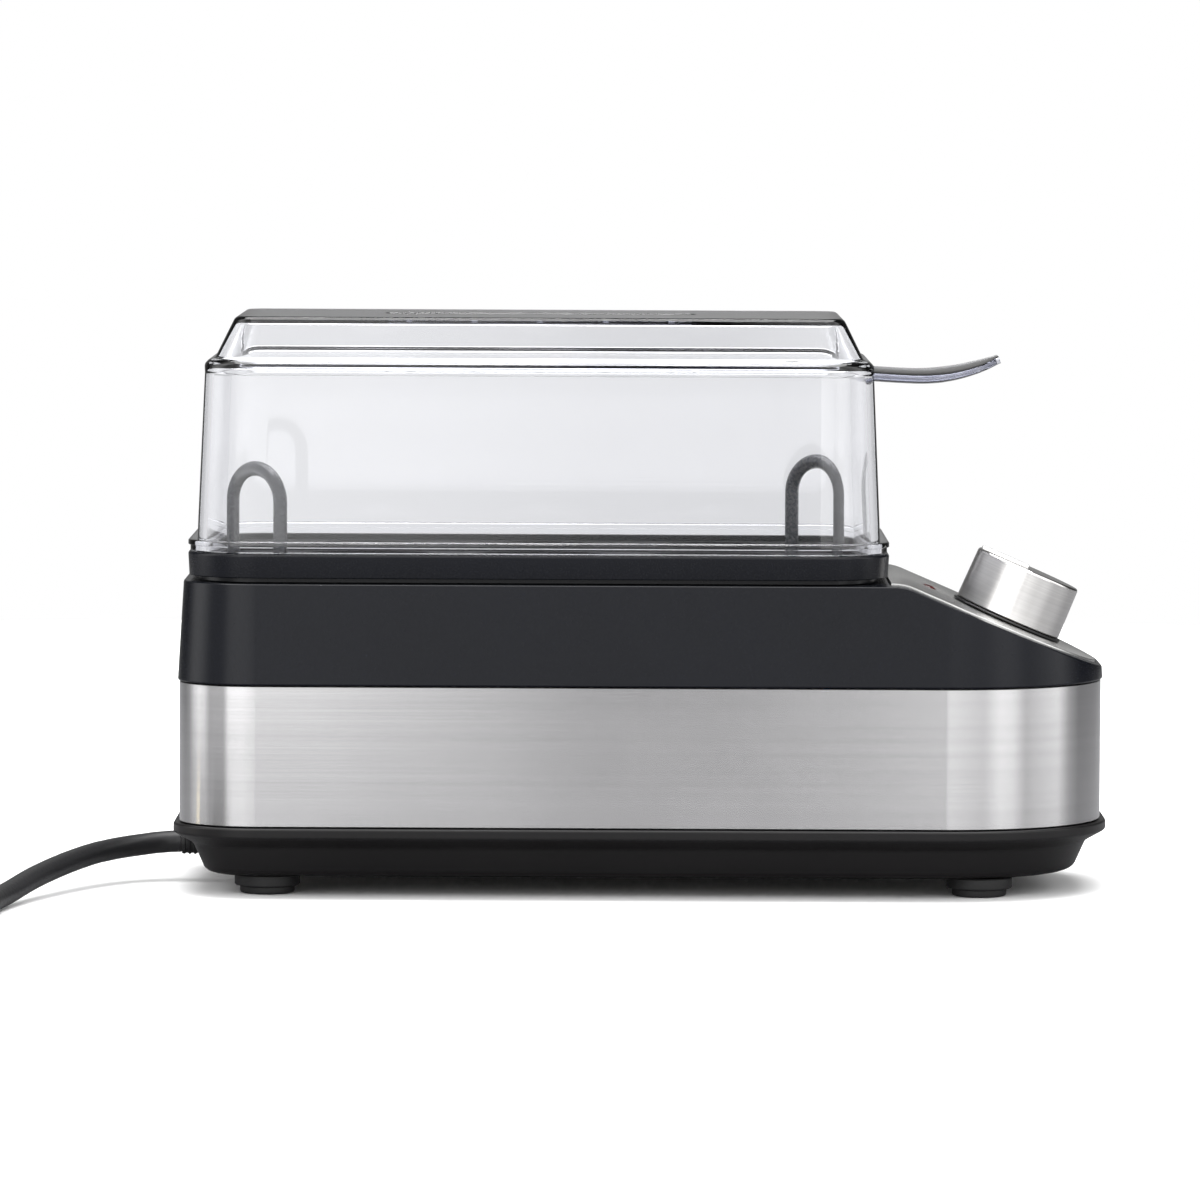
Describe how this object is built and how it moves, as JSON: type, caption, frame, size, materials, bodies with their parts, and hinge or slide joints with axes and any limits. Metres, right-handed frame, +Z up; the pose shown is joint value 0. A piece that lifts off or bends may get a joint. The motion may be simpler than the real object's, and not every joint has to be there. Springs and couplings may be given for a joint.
{
  "type": "egg cooker",
  "caption": "Steel-banded egg cooker with a clear steam lid, lift-out egg rack, heated dish, rotary control and mains lead.",
  "frame": {"origin": "on the surface the cooker stands on, under the middle of its base", "axes": "+Z up, +X from the mains lead end towards the control knob, +Y across the base to the left"},
  "size_m": [0.41, 0.225, 0.1634],
  "materials": {
    "pan_plastic": "fine satin",
    "foot_rubber": "matt",
    "screw_steel": "zinc",
    "brushed_band": "fine horizontal brushing",
    "housing_plastic": "satin",
    "brushed_plate": "fine brushing",
    "lens_red": "gloss",
    "ring_black": "matt",
    "brass_parts": "machined",
    "control_nylon": "satin",
    "surround_plastic": "satin",
    "seal_silicone": "matt",
    "dish_steel": "satin",
    "element_steel": "dull",
    "thermostat_ceramic": "ceramic",
    "board_green": "solder mask",
    "buzzer_black": "satin",
    "lead_brown": "satin",
    "lead_blue": "satin",
    "lead_green": "satin",
    "relief_rubber": "matt",
    "cord_black": "satin",
    "plug_black": "satin",
    "brass_pins": "nickelled",
    "knob_aluminium": "spun",
    "hub_plastic": "satin",
    "clear_lid": "clear polycarbonate",
    "rack_plastic": "satin",
    "grip_grey": "satin"
  },
  "bodies": {
    "base": {"base_pan": "pan_plastic", "foot_rear_left": "foot_rubber", "foot_rear_right": "foot_rubber", "foot_front_left": "foot_rubber", "foot_front_right": "foot_rubber", "base_screw_rear_left": "screw_steel", "base_screw_rear_right": "screw_steel", "base_screw_front_left": "screw_steel", "base_screw_front_right": "screw_steel", "steel_band": "brushed_band", "upper_housing": "housing_plastic", "control_plate": "brushed_plate", "indicator_lens": "lens_red", "knob_ring": "ring_black", "bush_nut": "brass_parts", "rotary_control": "control_nylon", "tray_surround": "surround_plastic", "dish_seal": "seal_silicone", "heating_dish": "dish_steel", "heating_element": "element_steel", "thermostat": "thermostat_ceramic", "thermal_fuse": "brass_parts", "control_board": "board_green", "buzzer": "buzzer_black", "terminal_block": "control_nylon", "cord_clamp": "control_nylon", "supply_lead_live": "lead_brown", "supply_lead_neutral": "lead_blue", "supply_lead_earth": "lead_green", "element_lead_live": "lead_brown", "element_lead_neutral": "lead_blue", "strain_relief": "relief_rubber", "cord": "cord_black", "cord_coil": "cord_black", "cord_tail": "cord_black", "plug_body": "plug_black", "plug_pin_left": "brass_pins", "plug_pin_right": "brass_pins", "plug_pin_earth": "brass_pins"},
    "knob": {"knob_cap": "knob_aluminium", "knob_hub": "hub_plastic", "control_shaft": "brass_parts"},
    "steam_lid": {"lid": "clear_lid"},
    "rack": {"egg_rack": "rack_plastic", "rack_grip_rear": "grip_grey", "rack_grip_front": "grip_grey"}
  },
  "joints": [
    {"name": "knob_turn", "type": "hinge", "parent": "base", "child": "knob", "pos_m": [0.1044, 0, 0.07553], "axis": [0.3939, 0, 0.9191], "range_deg": [-270, 0]},
    {"name": "lid_lift", "type": "slide", "parent": "base", "child": "steam_lid", "axis": [0, 0, 1], "range_m": [0, 0.09]},
    {"name": "rack_lift", "type": "slide", "parent": "base", "child": "rack", "axis": [0, 0, 1], "range_m": [0, 0.032]}
  ]
}
